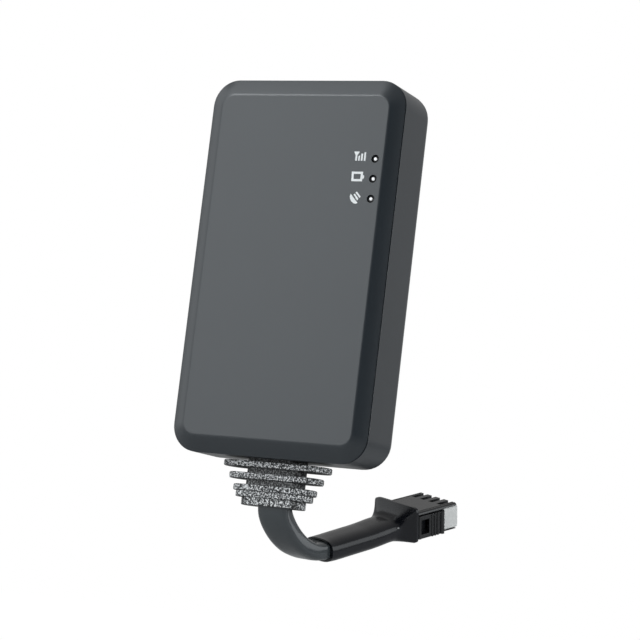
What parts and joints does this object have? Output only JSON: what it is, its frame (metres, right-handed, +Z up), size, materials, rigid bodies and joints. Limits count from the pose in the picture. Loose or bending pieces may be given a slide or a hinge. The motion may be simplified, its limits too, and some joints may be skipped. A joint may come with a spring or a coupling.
{
  "type": "vehicle gps tracker",
  "caption": "Slim wired position tracker: a screwed two-part case with three status windows, a flanged strain relief and a short flat lead ending in a latching four-way plug.",
  "frame": {"origin": "middle of the flat rear face", "axes": "+X to the right seen from the front, +Y out of the rear face, +Z up along the case"},
  "size_m": [0.0472, 0.0527, 0.0995],
  "materials": {
    "case_plastic": "satin, finely textured",
    "relief_rubber": "coarse grain, dull",
    "seal_rubber": "dull",
    "lead_jacket": "smooth, glossy",
    "sleeve_black": "smooth, half gloss",
    "plug_black": "moulded, half gloss",
    "plug_grey": "moulded, matt",
    "screw_steel": "plated, satin",
    "shield_metal": "tinned, satin",
    "contact_gold": "plated, bright",
    "board_green": "lacquered",
    "antenna_ceramic": "sintered, matt",
    "clear_plastic": "clear, polished",
    "connector_white": "moulded",
    "card_plastic": "smooth",
    "chip_black": "moulded",
    "cell_foil": "foil, satin",
    "pad_foam": "foam",
    "wire_red": "insulated"
  },
  "bodies": {
    "root": {"front_cover": "case_plastic", "rear_cover": "case_plastic", "case_seal": "seal_rubber", "case_screws": "screw_steel", "main_board": "board_green", "board_screws": "screw_steel", "cellular_module": "board_green", "module_shield": "shield_metal", "cellular_antenna": "contact_gold", "patch_antenna": "antenna_ceramic", "patch_electrode": "shield_metal", "satellite_receiver": "shield_metal", "status_leds": "clear_plastic", "light_pipe_1": "clear_plastic", "light_pipe_2": "clear_plastic", "light_pipe_3": "clear_plastic", "sim_holder": "shield_metal", "sim_card": "card_plastic", "power_inductor": "chip_black", "power_chip": "chip_black", "supply_capacitors": "antenna_ceramic", "motion_sensor": "chip_black", "battery_cell": "cell_foil", "battery_pad": "pad_foam", "battery_socket": "connector_white", "battery_plug": "connector_white", "battery_wires": "wire_red", "board_socket": "connector_white", "inner_plug": "plug_black", "inner_wires": "wire_red", "strain_relief": "relief_rubber", "lead_cable": "lead_jacket", "lead_sleeve": "sleeve_black", "plug_housing": "plug_black", "plug_insert": "plug_grey", "plug_contacts": "contact_gold"},
    "latch_right": {"plug_latch_right": "plug_black"},
    "latch_left": {"plug_latch_left": "plug_black"}
  },
  "joints": [
    {"name": "latch_right_press", "type": "hinge", "parent": "root", "child": "latch_right", "pos_m": [0.02035, 0.02165, -0.04963], "axis": [0.0403, -0.3435, 0.9383], "range_deg": [0, 5], "stiffness_Nm_per_rad": 0.05},
    {"name": "latch_left_press", "type": "hinge", "parent": "root", "child": "latch_left", "pos_m": [0.0095, 0.02559, -0.04772], "axis": [-0.0403, 0.3435, -0.9383], "range_deg": [0, 5], "stiffness_Nm_per_rad": 0.05}
  ]
}
